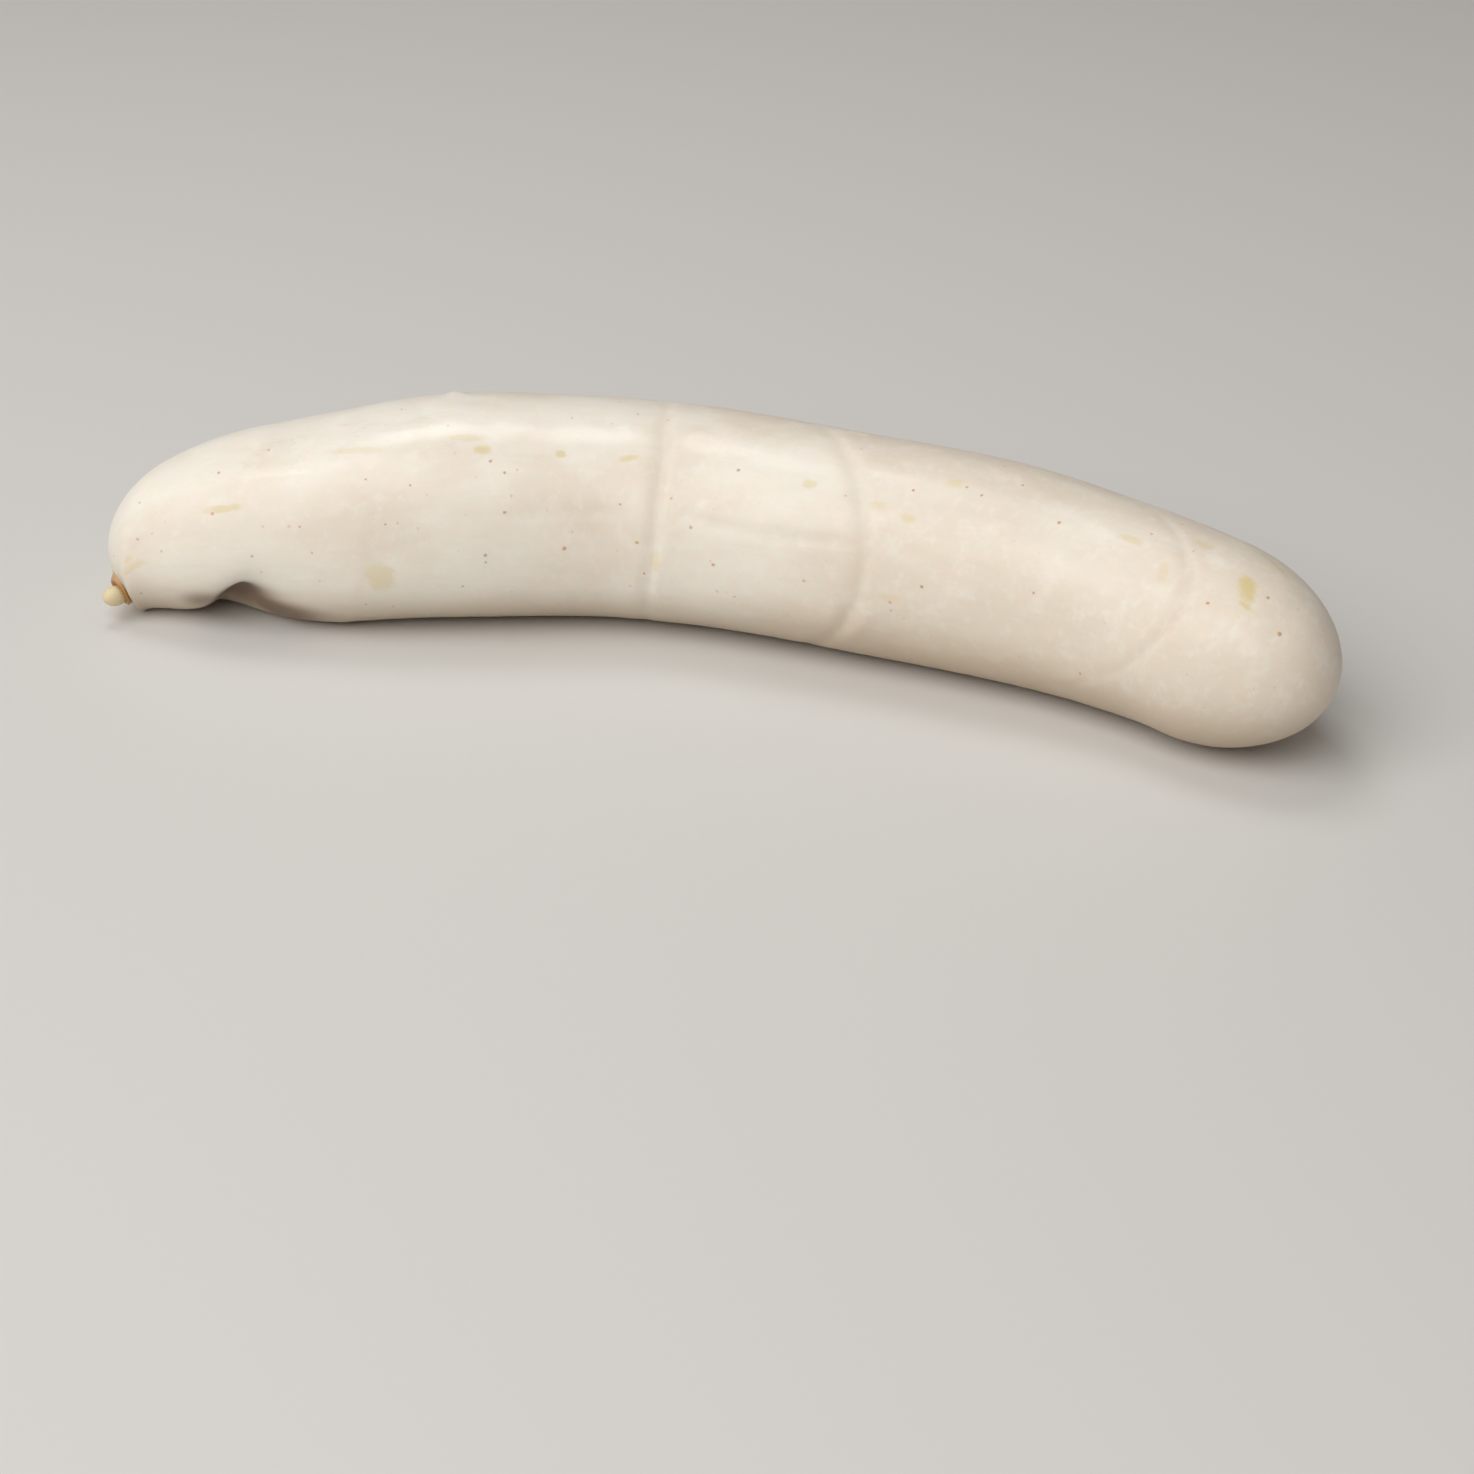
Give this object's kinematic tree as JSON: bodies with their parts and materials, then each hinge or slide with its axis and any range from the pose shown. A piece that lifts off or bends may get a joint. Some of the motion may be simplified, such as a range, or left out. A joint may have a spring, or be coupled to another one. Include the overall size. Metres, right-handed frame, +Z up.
{
  "type": "white bratwurst sausage",
  "caption": "Whole raw white sausage in a thin natural casing, bowed and lying on its side, with a tied-off knot of casing at one end and a plain round end.",
  "frame": {"origin": "middle of the bounding box, on the surface the sausage lies on", "axes": "+X along the sausage from its knotted end to its plain end, +Y towards the outside of its bow, +Z up"},
  "size_m": [0.1878, 0.0512, 0.0337],
  "materials": {
    "casing": null
  },
  "bodies": {
    "root": {"sausage": "casing"}
  },
  "joints": []
}
